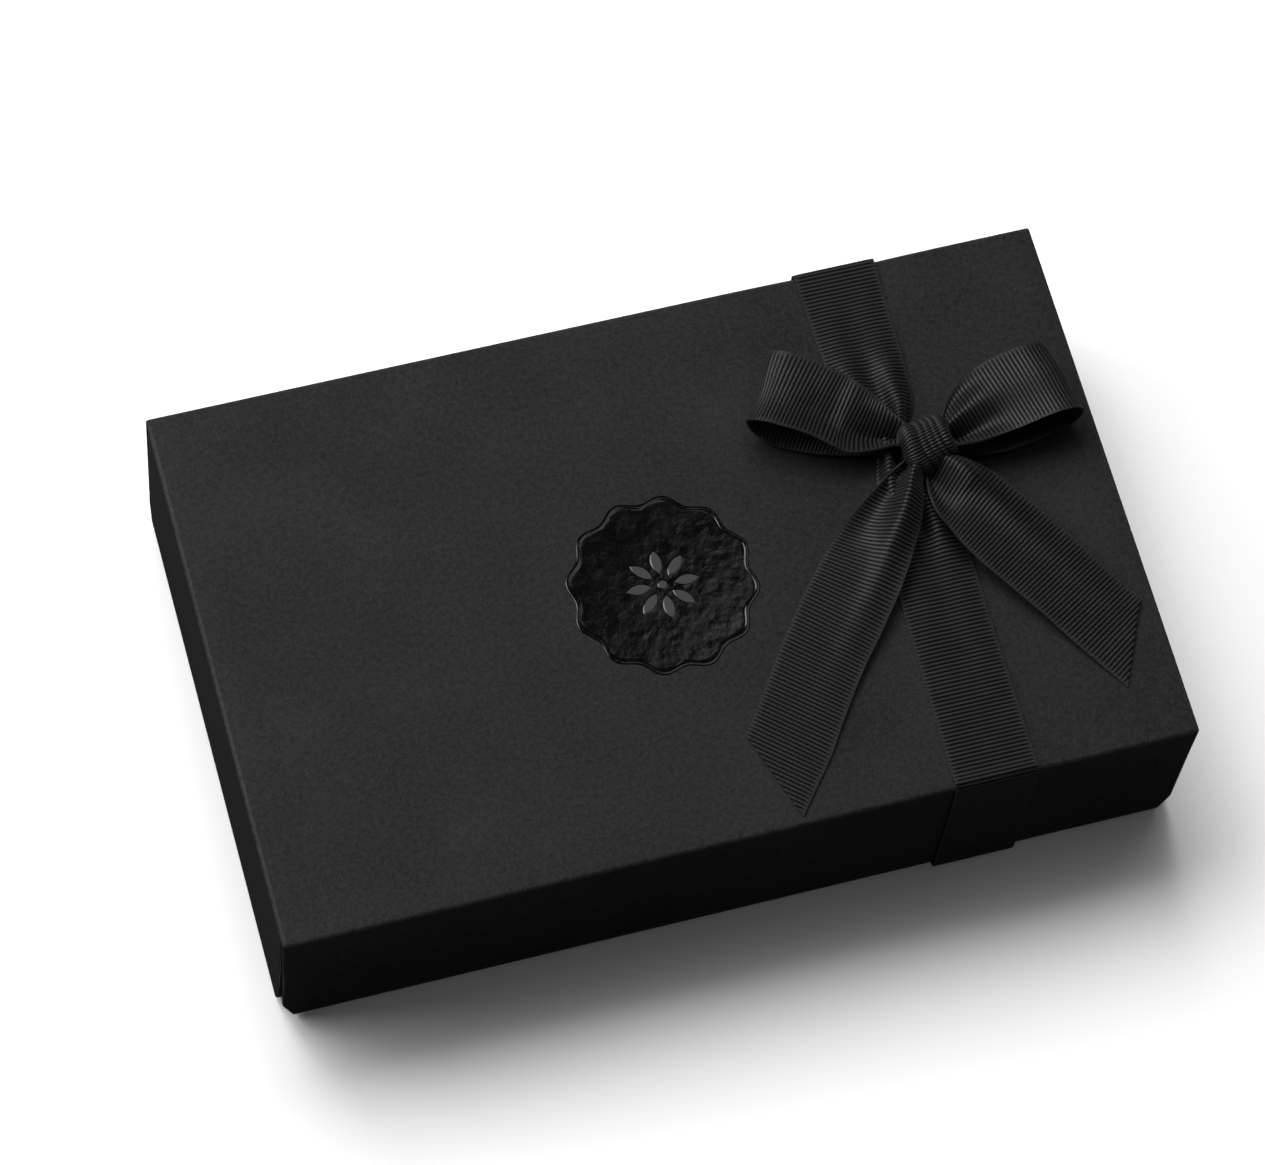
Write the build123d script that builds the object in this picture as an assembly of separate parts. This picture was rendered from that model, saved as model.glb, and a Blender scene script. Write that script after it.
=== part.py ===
from build123d import *
import os
from math import cos, pi, sin

# Rigid gift box: a tray of covered greyboard, a lift-off lid as deep as the
# tray, a foil seal, and a ribbon band with a tied bow.
# Millimetres. Origin at the centre of the underside, +X along the length,
# +Y to the back, +Z up.

# Closed box, outside the covering paper
box_length = 280.0
box_width = 173.0
box_height = 63.0

# Sheet stock
board = 1.8  # greyboard panels
paper = 0.3  # covering and lining paper
tape = 0.2  # corner tape, and the glue line beside it
web = 0.3  # card of the lid's corner webs

# Lid
lid_floor_gap = 1.5  # lid edge to the floor, room for the ribbon to turn under
lid_flare = 0.8  # how far each wall leans out at its foot
lid_edge_radius = 1.4  # round of the covered top edges
corner_gap = 0.4  # side wall's end to the long wall, at the top
clip_width = 3.0  # clipped lower corner of each wall, along the wall
clip_height = 9.0  # the same, up the wall
lid_turn_in = 44.0  # covering paper turned up inside the walls
web_leg = 12.0
lining_margin = 1.5  # lining's edge to the lid walls

# Tray
tray_clearance = 1.4  # lid board's inner face to the tray, at the top
head_gap = 0.3  # tray rim to the lid's lining
tray_turn_in = 18.0  # covering paper turned over the rim and down inside
tray_turn_under = 15.0  # covering paper turned under the bottom
base_margin = 3.0  # base sheet's edge to the tray's edge
tape_leg = 14.0

# Seal
seal_radius = 29.0
seal_thickness = 0.3
seal_lobes = 12
seal_lobe_depth = 2.2
seal_lip = 1.0  # width of the raised edge
seal_field = 0.15  # thickness between the edge and the rosette
seal_centre = (-3.0, -3.0)
petals = 8
petal_length = 8.2
petal_width = 3.6
petal_ring = 7.4  # radius at the petals' middles
hub_radius = 1.6

# Ribbon
ribbon_width = 25.4
ribbon = 0.5  # thickness
ribbon_x = 76.5  # centre of the band along the box
ribbon_gap = 0.2  # band to the paper
ribbon_tuck = 12.0  # end turned up inside the lid
ribbon_bulge = 0.8  # band stands this much further out at the lid's foot

# Bow
bow_gap = 0.3  # clearance between the bow's pieces
knot_centre = (85.5, 20.0)
knot_diameter = 18.0
knot_height = 13.0
knot_round = 5.0  # of its upper and lower edges
pinch_width = 9.0  # width of a loop or tail at the knot
pinch_length = 22.0  # over which it opens to the ribbon's width
loop_end_radius = 8.0
loop_root_radius = 2.0
loop_floor = 1.0  # underside of a loop above the band
left_loop = (147.5, 44.0)  # direction in degrees, length
right_loop = (12.3, 38.5)
left_tail = (230.8, 107.5)
right_tail = (299.8, 77.5)
tail_cut = 16.0  # slant of the cut end
tail_drop = 42.0  # where a tail comes off the band
tail_ramp = 12.0  # over which it settles onto the lid
tail_root_height = 5.0

# Levels and half sizes that follow
lid_foot = lid_floor_gap
lid_shoulder = box_height - paper - board  # underside of the top board
lid_wall = paper + board + paper
tray_top = lid_shoulder - paper - head_gap
tray_half_length = box_length / 2 - paper - board - tray_clearance
tray_half_width = box_width / 2 - paper - board - tray_clearance
board_half_length = tray_half_length - paper - tape
board_half_width = tray_half_width - paper - tape
bottom_low = 2 * paper
bottom_high = bottom_low + board
band_top = box_height + ribbon_gap + ribbon


def span(x_low, x_high, y_low, y_high, z_low, z_high):
    """Box between two corners."""
    centre = Pos((x_low + x_high) / 2, (y_low + y_high) / 2, (z_low + z_high) / 2)
    return centre * Box(x_high - x_low, y_high - y_low, z_high - z_low)


def block(x_half, y_half, z_low, z_high):
    """Box centred on the Z axis between two levels."""
    return span(-x_half, x_half, -y_half, y_half, z_low, z_high)


def quarter(turn, shape):
    """Turn a shape made at the front round to side 0, 1, 2 or 3."""
    return Rot(0, 0, 90 * turn) * shape


# ------------------------------------------------------------------- lid


def lean(z):
    """How far out a lid wall stands at height z."""
    return lid_flare * (lid_shoulder - z) / (lid_shoulder - lid_foot)


def wall_size(turn):
    """Depth of a lid wall's outer face from the centre, and its half length."""
    if turn % 2 == 0:
        return box_width / 2, box_length / 2
    return box_length / 2, box_width / 2 - lid_wall - corner_gap


def lid_slab(depth, inset, thickness, z_low, z_high, half_length):
    """Leaning slab of the front lid wall, inset from the paper's outer face."""
    outer_high = inset - depth - lean(z_high)
    outer_low = inset - depth - lean(z_low)
    profile = Polyline(
        (outer_high, z_high),
        (outer_low, z_low),
        (outer_low + thickness, z_low),
        (outer_high + thickness, z_high),
        close=True,
    )
    return extrude(Plane.YZ * make_face(profile), amount=half_length, both=True)


def corner_clips(depth, half_length, foot):
    """Wedges that take the two lower corners off the front lid wall."""
    wedges = []
    for side in (-1, 1):
        corner = Polyline(
            (side * half_length, foot + clip_height),
            (side * (half_length - 2 * clip_width), foot - clip_height),
            (side * (half_length + clip_width), foot - clip_height),
            (side * (half_length + clip_width), foot + clip_height),
            close=True,
        )
        face = Plane.XZ.offset(depth) * make_face(corner)
        wedges.append(extrude(face, amount=2 * lid_wall, both=True))
    return wedges


def lid_wall_board(turn):
    """Greyboard of one lid wall."""
    depth, half = wall_size(turn)
    foot = lid_foot + paper
    slab = lid_slab(depth, paper, board, foot, lid_shoulder, half - paper)
    return quarter(turn, slab - corner_clips(depth, half - paper, foot))


def lid_top_board():
    """The lid's top panel, its upper edges rounded."""
    panel = block(box_length / 2 - paper, box_width / 2 - paper, lid_shoulder, lid_shoulder + board)
    return fillet(panel.faces().sort_by(Axis.Z)[-1].edges(), lid_edge_radius - paper)


def lid_wrap():
    """Covering paper of the lid: top, walls, wall ends and the part turned in."""
    cover = block(box_length / 2, box_width / 2, lid_shoulder, box_height)
    wrap = fillet(cover.faces().sort_by(Axis.Z)[-1].edges(), lid_edge_radius) - lid_top_board()
    for turn in range(4):
        depth, half = wall_size(turn)
        outer = lid_slab(depth, 0, paper + board, lid_foot, lid_shoulder, half)
        inner = lid_slab(depth, 0, lid_wall, lid_foot, lid_foot + lid_turn_in, half)
        sleeve = (outer + inner) - corner_clips(depth, half, lid_foot)
        wrap += quarter(turn, sleeve) - lid_wall_board(turn)
    return wrap


def lid_room(inset, z_low, z_high):
    """Space inside the lid walls, inset from the paper's outer face."""
    sections = []
    for z in (z_low, z_high):
        length = box_length + 2 * lean(z) - 2 * inset
        width = box_width + 2 * lean(z) - 2 * inset
        sections.append(Plane.XY.offset(z) * Rectangle(length, width))
    return loft(sections)


def lid_corner_webs():
    """Four folded card webs glued inside the open corners of the lid."""
    z_low = lid_foot + clip_height
    z_high = lid_foot + lid_turn_in
    ring = lid_room(lid_wall, z_low, z_high) - lid_room(lid_wall + web, z_low, z_high)
    webs = []
    for x_side in (-1, 1):
        for y_side in (-1, 1):
            reach = lid_wall + web_leg
            corner = Pos(
                x_side * (box_length / 2 - lid_wall),
                y_side * (box_width / 2 - lid_wall),
                (z_low + z_high) / 2,
            )
            webs.append(ring & (corner * Box(2 * web_leg, 2 * web_leg, z_high - z_low)))
    return Compound(webs)


def lid_lining():
    """Sheet under the lid's top board."""
    inset = paper + board + lining_margin
    return block(box_length / 2 - inset, box_width / 2 - inset, lid_shoulder - paper, lid_shoulder)


# ------------------------------------------------------------------ tray


def tray_bottom_board():
    """The tray's bottom panel; the walls stand on it."""
    return block(board_half_length, board_half_width, bottom_low, bottom_high)


def tray_long_board(side):
    """Front or back wall panel, as long as the bottom."""
    outer = side * board_half_width
    inner = side * (board_half_width - board)
    low, high = sorted((outer, inner))
    return span(-board_half_length, board_half_length, low, high, bottom_high, tray_top - paper)


def tray_side_board(side):
    """Left or right wall panel, between the long ones."""
    outer = side * board_half_length
    inner = side * (board_half_length - board)
    low, high = sorted((outer, inner))
    half = board_half_width - board
    return span(low, high, -half, half, bottom_high, tray_top - paper)


def tray_corner_tapes():
    """Four paper tapes round the outside of the tray's corners."""
    z_low, z_high = bottom_high, tray_top - paper
    ring = block(board_half_length + tape, board_half_width + tape, z_low, z_high)
    ring -= block(board_half_length, board_half_width, z_low, z_high)
    tapes = []
    for x_side in (-1, 1):
        for y_side in (-1, 1):
            corner = Pos(
                x_side * board_half_length,
                y_side * board_half_width,
                (z_low + z_high) / 2,
            )
            tapes.append(ring & (corner * Box(2 * tape_leg, 2 * tape_leg, z_high - z_low)))
    return Compound(tapes)


def tray_wrap():
    """Covering paper of the tray, turned over the rim and under the bottom."""
    room_length = board_half_length - board
    room_width = board_half_width - board
    wrap = block(tray_half_length, tray_half_width, paper, tray_top)
    wrap -= block(board_half_length + tape, board_half_width + tape, bottom_low, tray_top - paper)
    wrap += block(room_length, room_width, tray_top - tray_turn_in, tray_top)
    wrap -= block(room_length - paper, room_width - paper, tray_top - tray_turn_in, tray_top)
    under_length = tray_half_length - tray_turn_under
    under_width = tray_half_width - tray_turn_under
    return wrap - block(under_length, under_width, paper, bottom_low)


def tray_base_sheet():
    """Sheet pasted over the turned-under paper; the box stands on it."""
    return block(tray_half_length - base_margin, tray_half_width - base_margin, 0, paper)


def tray_lining():
    """Paper over the tray's floor and up the walls to the turned-in paper."""
    room_length = board_half_length - board
    room_width = board_half_width - board
    z_high = tray_top - tray_turn_in
    lining = block(room_length, room_width, bottom_high, z_high)
    return lining - block(room_length - paper, room_width - paper, bottom_high + paper, z_high)


# ------------------------------------------------------------------ seal


def scalloped(inset):
    """Face inside the seal's wavy outline, or inset from it."""
    outline = []
    for step in range(4 * seal_lobes):
        angle = pi / 2 * step / seal_lobes
        radius = seal_radius - inset - seal_lobe_depth * (1 + cos(seal_lobes * angle)) / 2
        outline.append((radius * cos(angle), radius * sin(angle)))
    return make_face(Spline(*outline, periodic=True))


def petal():
    """Pointed leaf, its length along X, where two circles overlap."""
    offset = (petal_length**2 - petal_width**2) / (4 * petal_width)
    radius = offset + petal_width / 2
    return Pos(0, offset) * Circle(radius) & Pos(0, -offset) * Circle(radius)


def seal():
    """Scalloped foil sticker with a raised edge and rosette."""
    sticker = extrude(scalloped(0), amount=seal_field)
    sticker += extrude(scalloped(0) - scalloped(seal_lip), amount=seal_thickness)
    rosette = Sketch() + Circle(hub_radius) + PolarLocations(petal_ring, petals) * petal()
    sticker += extrude(rosette, amount=seal_thickness)
    return Pos(*seal_centre, box_height) * sticker


# ---------------------------------------------------------------- ribbon


def thick_line(points, thickness):
    """Face of even thickness along an open run of points, mitred at its turns."""
    path = [Vector(*point) for point in points]
    sides = []
    for index, point in enumerate(path):
        before = (point - path[index - 1]).normalized() if index else None
        after = (path[index + 1] - point).normalized() if index + 1 < len(path) else None
        along = (before or after) + (after or before)
        normal = Vector(-along.Y, along.X).normalized()
        square = Vector(-(after or before).Y, (after or before).X)
        reach = thickness / 2 / normal.dot(square)
        sides.append((point + normal * reach, point - normal * reach))
    left = [pair[0] for pair in sides]
    right = [pair[1] for pair in reversed(sides)]
    return make_face(Polyline(*left, *right, close=True))


def thick_line_on(plane, points):
    """The ribbon's section along a run of points in a plane."""
    return plane * thick_line(points, ribbon)


def ribbon_band():
    """Ribbon over the lid, down both long walls, its ends turned in and up."""
    stand_off = ribbon_gap + ribbon / 2
    top = box_height + stand_off
    turn_level = lid_foot - stand_off
    tuck_level = lid_foot + ribbon_tuck
    outer_foot = box_width / 2 + lean(lid_foot) + stand_off + ribbon_bulge
    inner_foot = box_width / 2 + lean(lid_foot) - lid_wall - stand_off
    inner_end = box_width / 2 + lean(tuck_level) - lid_wall - stand_off
    outer_top = box_width / 2 + stand_off
    front = [
        (-inner_end, tuck_level),
        (-inner_foot, turn_level),
        (-outer_foot, turn_level),
        (-outer_top, top),
    ]
    back = [(-y, z) for y, z in reversed(front)]
    strip = extrude(thick_line_on(Plane.YZ, front + back), amount=ribbon_width / 2, both=True)
    return Pos(ribbon_x, 0, 0) * strip


def bow_place(direction):
    """Frame at the knot's side, +X pointing away from the knot."""
    start = knot_diameter / 2 + bow_gap
    return Pos(*knot_centre, band_top + bow_gap) * Rot(0, 0, direction) * Pos(start, 0, 0)


def pinched(length, slant):
    """Plan of a ribbon that leaves the knot narrow and ends with a slanted cut."""
    half = ribbon_width / 2
    outline = Polyline(
        (0, -pinch_width / 2),
        (pinch_length, -half),
        (length + slant / 2, -half),
        (length - slant / 2, half),
        (pinch_length, half),
        (0, pinch_width / 2),
        close=True,
    )
    return make_face(outline)


def bow_loop(loop):
    """Hollow loop of ribbon: a strip round a teardrop, narrow at the knot."""
    direction, length = loop
    root = Pos(loop_root_radius, loop_floor + loop_root_radius)
    end = Pos(length - loop_end_radius, loop_floor + loop_end_radius)
    skins = []
    for inward in (0, ribbon):
        circles = Sketch() + root * Circle(loop_root_radius - inward)
        circles += end * Circle(loop_end_radius - inward)
        skins.append(make_hull(circles.edges()))
    band = extrude(Plane.XZ * (skins[0] - skins[1]), amount=ribbon_width / 2, both=True)
    band &= extrude(pinched(length, 0), amount=box_height)
    return bow_place(direction) * band


def bow_tail(tail, slant):
    """Tail that falls from the knot to the lid and lies along it."""
    direction, length = tail
    on_lid = box_height + ribbon_gap + ribbon / 2 - band_top - bow_gap
    profile = [
        (0, tail_root_height),
        (tail_drop / 2, ribbon),
        (tail_drop, ribbon),
        (tail_drop + tail_ramp, on_lid),
        (length + abs(slant), on_lid),
    ]
    strip = extrude(thick_line_on(Plane.XZ, profile), amount=ribbon_width / 2, both=True)
    strip &= Pos(0, 0, -box_height) * extrude(pinched(length, slant), amount=2 * box_height)
    return bow_place(direction) * strip


def bow_knot():
    """Knot at the middle of the bow."""
    lump = Cylinder(knot_diameter / 2, knot_height)
    lump = fillet(lump.edges().filter_by(GeomType.CIRCLE), knot_round)
    return Pos(*knot_centre, band_top + bow_gap + knot_height / 2) * lump


nodes = {
    "tray_bottom_board": tray_bottom_board(),
    "tray_front_board": tray_long_board(-1),
    "tray_back_board": tray_long_board(1),
    "tray_left_board": tray_side_board(-1),
    "tray_right_board": tray_side_board(1),
    "tray_corner_tapes": tray_corner_tapes(),
    "tray_wrap": tray_wrap(),
    "tray_base_sheet": tray_base_sheet(),
    "tray_lining": tray_lining(),
    "lid_top_board": lid_top_board(),
    "lid_front_board": lid_wall_board(0),
    "lid_right_board": lid_wall_board(1),
    "lid_back_board": lid_wall_board(2),
    "lid_left_board": lid_wall_board(3),
    "lid_corner_webs": lid_corner_webs(),
    "lid_wrap": lid_wrap(),
    "lid_lining": lid_lining(),
    "seal": seal(),
    "ribbon_band": ribbon_band(),
    "bow_knot": bow_knot(),
    "bow_left_loop": bow_loop(left_loop),
    "bow_right_loop": bow_loop(right_loop),
    "bow_left_tail": bow_tail(left_tail, -tail_cut),
    "bow_right_tail": bow_tail(right_tail, tail_cut),
}

os.makedirs("parts", exist_ok=True)
for name, shape in nodes.items():
    export_step(shape, f"parts/{name}.step")
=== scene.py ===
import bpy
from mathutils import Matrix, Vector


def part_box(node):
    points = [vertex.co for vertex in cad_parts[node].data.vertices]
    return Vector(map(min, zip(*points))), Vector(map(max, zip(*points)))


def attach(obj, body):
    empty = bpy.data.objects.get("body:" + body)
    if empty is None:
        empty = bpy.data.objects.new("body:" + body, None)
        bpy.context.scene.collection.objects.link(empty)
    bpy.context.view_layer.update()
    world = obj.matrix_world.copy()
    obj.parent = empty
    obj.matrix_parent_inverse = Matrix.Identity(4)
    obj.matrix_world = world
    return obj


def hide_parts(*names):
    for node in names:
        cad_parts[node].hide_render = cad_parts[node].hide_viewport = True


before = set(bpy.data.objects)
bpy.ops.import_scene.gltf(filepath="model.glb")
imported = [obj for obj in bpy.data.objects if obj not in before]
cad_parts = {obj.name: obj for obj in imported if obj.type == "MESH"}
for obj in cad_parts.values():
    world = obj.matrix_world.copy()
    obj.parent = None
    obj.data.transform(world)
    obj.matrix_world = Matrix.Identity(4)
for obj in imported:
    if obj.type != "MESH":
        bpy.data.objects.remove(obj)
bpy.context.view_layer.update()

from math import cos, pi, radians, sin, tan

import bmesh
import bpy
import numpy as np
from mathutils import Matrix, Vector

# ------------------------------------------------------------ greyboard panels
# Ten panels of grey pressed board, 1.8 mm thick, cut square and glued into the
# tray and the lid. They show only inside, above the paper that is turned in.
mm = 0.001


def place(tree, kind, **settings):
    """New node in a tree, with its settings."""
    node = tree.nodes.new(kind)
    for key, value in settings.items():
        setattr(node, key, value)
    return node


def feed(tree, socket, value):
    """Link an output to a socket, or set the socket's own value."""
    if isinstance(value, bpy.types.NodeSocket):
        tree.links.new(value, socket)
    else:
        socket.default_value = value


def sum_of(tree, operation, *values):
    """Result of a Math node."""
    node = place(tree, "ShaderNodeMath", operation=operation)
    for socket, value in zip(node.inputs, values):
        feed(tree, socket, value)
    return node.outputs[0]


def spread(tree, value, low, high, to_low, to_high, curve="LINEAR"):
    """Value taken from one range to another, held at its ends."""
    node = place(tree, "ShaderNodeMapRange", interpolation_type=curve)
    for socket, number in zip(node.inputs, (value, low, high, to_low, to_high)):
        feed(tree, socket, number)
    return node.outputs[0]


def noise(tree, where, scale, detail, roughness=0.5):
    """Cloudy pattern, scale in lumps to the metre."""
    node = place(tree, "ShaderNodeTexNoise")
    feed(tree, node.inputs["Vector"], where)
    feed(tree, node.inputs["Scale"], scale)
    feed(tree, node.inputs["Detail"], detail)
    feed(tree, node.inputs["Roughness"], roughness)
    return node.outputs["Fac"]


def shader_group(name, inputs, outputs):
    """Empty shader node group with named number sockets."""
    tree = bpy.data.node_groups.new(name, "ShaderNodeTree")
    for label, value in inputs.items():
        socket = tree.interface.new_socket(label, in_out="INPUT", socket_type="NodeSocketFloat")
        socket.default_value = value
    for label in outputs:
        tree.interface.new_socket(label, in_out="OUTPUT", socket_type="NodeSocketFloat")
    return tree, place(tree, "NodeGroupInput"), place(tree, "NodeGroupOutput")


# Pressed and rolled sheet: soft blotches, short fibres and a fine tooth.
sheet_grain, given, made = shader_group(
    "sheet grain", {"Fibre": 700.0, "Tooth": 1600.0, "Blotch": 45.0}, ("Tone", "Height")
)
spot = place(sheet_grain, "ShaderNodeTexCoord").outputs["Object"]
blotch = noise(sheet_grain, spot, given.outputs["Blotch"], 3.0)
fibre = noise(sheet_grain, spot, given.outputs["Fibre"], 5.0, 0.65)
tooth = noise(sheet_grain, spot, given.outputs["Tooth"], 3.0, 0.6)
fine = sum_of(sheet_grain, "MULTIPLY_ADD", tooth, 0.5, sum_of(sheet_grain, "MULTIPLY", fibre, 0.5))
tone = sum_of(sheet_grain, "MULTIPLY_ADD", blotch, 0.2, sum_of(sheet_grain, "MULTIPLY", fine, 0.8))
feed(sheet_grain, made.inputs["Tone"], spread(sheet_grain, tone, 0.38, 0.62, 0.0, 1.0))
feed(sheet_grain, made.inputs["Height"], fine)


def finish(name, roughness, **constants):
    """New material, its Principled shader and its node tree."""
    material = bpy.data.materials.new(name)
    material.use_nodes = True
    shader = material.node_tree.nodes["Principled BSDF"]
    shader.inputs["Roughness"].default_value = roughness
    for label, value in constants.items():
        shader.inputs[label.replace("_", " ")].default_value = value
    return material, shader, material.node_tree


def blend_colours(tree, mask, low, high):
    """Colour between two, by a mask."""
    node = place(tree, "ShaderNodeMix", data_type="RGBA")
    feed(tree, node.inputs["Factor"], mask)
    feed(tree, node.inputs[6], low)
    feed(tree, node.inputs[7], high)
    return node.outputs[2]


def relief(tree, shader, height, distance, strength=1.0):
    """Bump of a height in metres into the shader's normal."""
    bump = place(tree, "ShaderNodeBump")
    feed(tree, bump.inputs["Height"], height)
    bump.inputs["Distance"].default_value = distance
    bump.inputs["Strength"].default_value = strength
    feed(tree, shader.inputs["Normal"], bump.outputs["Normal"])


def sheet_finish(name, dark, light, roughness, depth, grain_sizes, **constants):
    """Material of a board or paper between two tones."""
    material, shader, tree = finish(name, roughness, **constants)
    grain = place(tree, "ShaderNodeGroup", node_tree=sheet_grain)
    for label, value in zip(("Fibre", "Tooth", "Blotch"), grain_sizes):
        grain.inputs[label].default_value = value
    colour = blend_colours(tree, grain.outputs["Tone"], (*dark, 1), (*light, 1))
    feed(tree, shader.inputs["Base Color"], colour)
    relief(tree, shader, grain.outputs["Height"], depth)
    return material, shader, tree, grain, colour


greyboard = sheet_finish(
    "greyboard", (0.30, 0.28, 0.25), (0.50, 0.48, 0.44), 0.92, 0.15 * mm, (420.0, 1100.0, 60.0)
)[0]


def coat_node(node, material):
    """Give a CAD node its finish."""
    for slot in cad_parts[node].material_slots:
        slot.material = material


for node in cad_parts:
    if node.endswith("_board"):
        coat_node(node, greyboard)

# ------------------------------------------------------- tapes at the tray's corners
# Strips of brown kraft paper, pasted round the corners of the bare tray to hold
# its panels together before it is covered.
kraft = sheet_finish(
    "kraft tape", (0.30, 0.19, 0.10), (0.46, 0.32, 0.19), 0.8, 0.06 * mm, (500.0, 1500.0, 80.0)
)[0]
coat_node("tray_corner_tapes", kraft)

# ------------------------------------------------------------- webs in the lid's corners
# Folded strips of thin black card, glued inside the lid across its open corners,
# so that the walls stand straight.
card = sheet_finish(
    "black card", (0.018, 0.018, 0.019), (0.032, 0.032, 0.034), 0.78, 0.04 * mm, (600.0, 1400.0, 50.0)
)[0]
coat_node("lid_corner_webs", card)

# -------------------------------------------------------------------------- linings
# Smooth black paper pasted under the lid's top and over the tray's floor and
# walls. It covers the board and the ends of the turned-in covering paper.
lining = sheet_finish(
    "lining paper", (0.020, 0.020, 0.022), (0.034, 0.034, 0.036), 0.7, 0.03 * mm, (800.0, 1900.0, 40.0)
)[0]
coat_node("lid_lining", lining)
coat_node("tray_lining", lining)

# ---------------------------------------------------------------- covering of the lid
# One sheet of soft-touch black paper, pasted over the top, folded down each wall,
# round its ends and foot, and up inside. The corners are left open.
black_paper, paper_shader, paper_tree, paper_grain, paper_colour = sheet_finish(
    "black paper",
    (0.0048, 0.0048, 0.0053),
    (0.0156, 0.0156, 0.0171),
    0.62,
    0.09 * mm,
    (620.0, 1500.0, 26.0),
    Specular_IOR_Level=0.25,
)
# The paper is painted lighter along its creases: partly edge wear, partly a painted highlight on the
# rounded edges.
crease = place(paper_tree, "ShaderNodeAttribute", attribute_name="crease").outputs["Fac"]
rub_and_highlight_share = spread(paper_tree, paper_grain.outputs["Tone"], 0, 1, 0.1, 0.6)
rubbed_and_highlit = sum_of(paper_tree, "MULTIPLY", crease, rub_and_highlight_share)
worn_and_highlit = blend_colours(paper_tree, rubbed_and_highlit, paper_colour, (0.055, 0.055, 0.057, 1))
feed(paper_tree, paper_shader.inputs["Base Color"], worn_and_highlit)

# Sizes in millimetres. The walls splay outward a little toward the foot, and the
# foot of each wall is clipped on a slant beside the open corner.
paper, lid_wall, lid_flare = 0.3, 2.4, 0.8
top_round, foot_round = 1.4, 0.8
corner_gap, clip_width, clip_height = 0.4, 3.0, 9.0
lid_turn_in = 44.0
top_power = 4
quarter_turn = np.radians([0, 30, 60, 90])
board_low, board_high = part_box("lid_top_board")
half_length = board_high.x / mm + paper
half_width = board_high.y / mm + paper
lid_top = board_high.z / mm + paper
shoulder = board_low.z / mm
lid_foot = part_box("lid_wrap")[0].z / mm
turn_in_edge = lid_foot + lid_turn_in


def lean(z):
    """How far out a lid wall stands at height z."""
    return lid_flare * np.clip((shoulder - z) / (shoulder - lid_foot), 0, 1)


def stretched(points):
    """Points of the lid's top, moved from its square outline to its rounded one."""
    low = [top_round - half_length, top_round - half_width, -np.inf]
    high = [half_length - top_round, half_width - top_round, lid_top - top_round]
    core = np.clip(points, low, high)
    out = points - core
    plan = (out[..., 0] ** top_power + out[..., 1] ** top_power) ** (1 / top_power)
    reach = np.sqrt(plan**2 + out[..., 2] ** 2)
    share = np.where(reach > 1e-9, top_round / np.maximum(reach, 1e-9), 0)
    return core + out * share[..., None]


def patch(points, closed=False):
    """Quads over a grid of points, as (points, faces)."""
    rows, columns = points.shape[:2]
    faces = []
    for row in range(0, (rows - 1) * columns, columns):
        for j in range(columns - (0 if closed else 1)):
            after = (j + 1) % columns
            faces.append((row + j, row + after, row + columns + after, row + columns + j))
    return points.reshape(-1, 3), faces


def grid(first, second, third):
    """Points over two runs of coordinates, at one value of the third."""
    return np.stack(np.meshgrid(first, second, [third], indexing="ij"), -1)[:, :, 0]


def mesh_of(name, patches, somewhere, outward):
    """One mesh from patches in millimetres, merged where they meet.

    Its face nearest to somewhere looks outward, and the others follow.
    """
    joined = bmesh.new()
    for points, faces in patches:
        corners = [joined.verts.new(Vector(p) * mm) for p in points]
        for face in faces:
            joined.faces.new([corners[k] for k in face])
    bmesh.ops.remove_doubles(joined, verts=joined.verts, dist=0.004 * mm)
    bmesh.ops.recalc_face_normals(joined, faces=joined.faces)
    target = Vector(somewhere) * mm
    nearest = min(joined.faces, key=lambda face: (face.calc_center_median() - target).length)
    if nearest.normal.dot(Vector(outward)) < 0:
        bmesh.ops.reverse_faces(joined, faces=joined.faces)
    mesh = bpy.data.meshes.new(name)
    joined.to_mesh(mesh)
    joined.free()
    return mesh


def read_points(mesh):
    """A mesh's points in millimetres."""
    points = np.zeros(len(mesh.vertices) * 3)
    mesh.vertices.foreach_get("co", points)
    return points.reshape(-1, 3) / mm


def write_points(mesh, points):
    """Put a mesh's points, in millimetres, where they belong."""
    mesh.vertices.foreach_set("co", (points * mm).ravel())
    mesh.update()


def number_on(mesh, name, values):
    """Store one number for each point."""
    numbers = mesh.attributes.new(name, "FLOAT", "POINT")
    numbers.data.foreach_set("value", np.asarray(values, np.float32))


def show(name, mesh, material, body, slot, *stands_for, soft_angle=40):
    """Object for a finished mesh, smooth but for its sharp edges, on its body."""
    piece = bpy.data.objects.new(name, mesh)
    bpy.context.scene.collection.objects.link(piece)
    mesh.materials.clear()
    mesh.materials.append(material)
    mesh.shade_smooth()
    mesh.set_sharp_from_angle(angle=radians(soft_angle))
    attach(piece, body)
    if stands_for:
        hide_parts(*stands_for)
    return piece


def thicken(piece, thickness, even=True):
    """Give a sheet its thickness, inward."""
    wall = piece.modifiers.new("thickness", "SOLIDIFY")
    wall.thickness = thickness * mm
    wall.offset = -1
    wall.use_even_offset = even


steps = np.array([tan(radians(a)) for a in (45, 30, 15)])
run_in = top_round * (1 - steps)
side_flat = half_width - lid_wall - corner_gap - foot_round
long_flat = np.linspace(top_round - half_length, half_length - top_round, 37)
side_row = np.linspace(-side_flat, side_flat, 25)
xs = np.concatenate([run_in - half_length, long_flat, (half_length - run_in)[::-1]])
y_low = [*(run_in - half_width), top_round - half_width]
y_high = [half_width - top_round, *(half_width - run_in)[::-1]]
ys = np.array([*y_low, *side_row, *y_high])
levels = np.array([lid_top, *(lid_top - top_round * (1 - steps[1:])), lid_top - top_round, shoulder])
lid_patches = [patch(stretched(grid(xs, ys, lid_top)))]
for side in (-1, 1):
    lid_patches.append(patch(stretched(grid(levels, xs, side * half_width)[..., [1, 2, 0]])))
    lid_patches.append(patch(stretched(grid(levels, ys, side * half_length)[..., [2, 1, 0]])))


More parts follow.
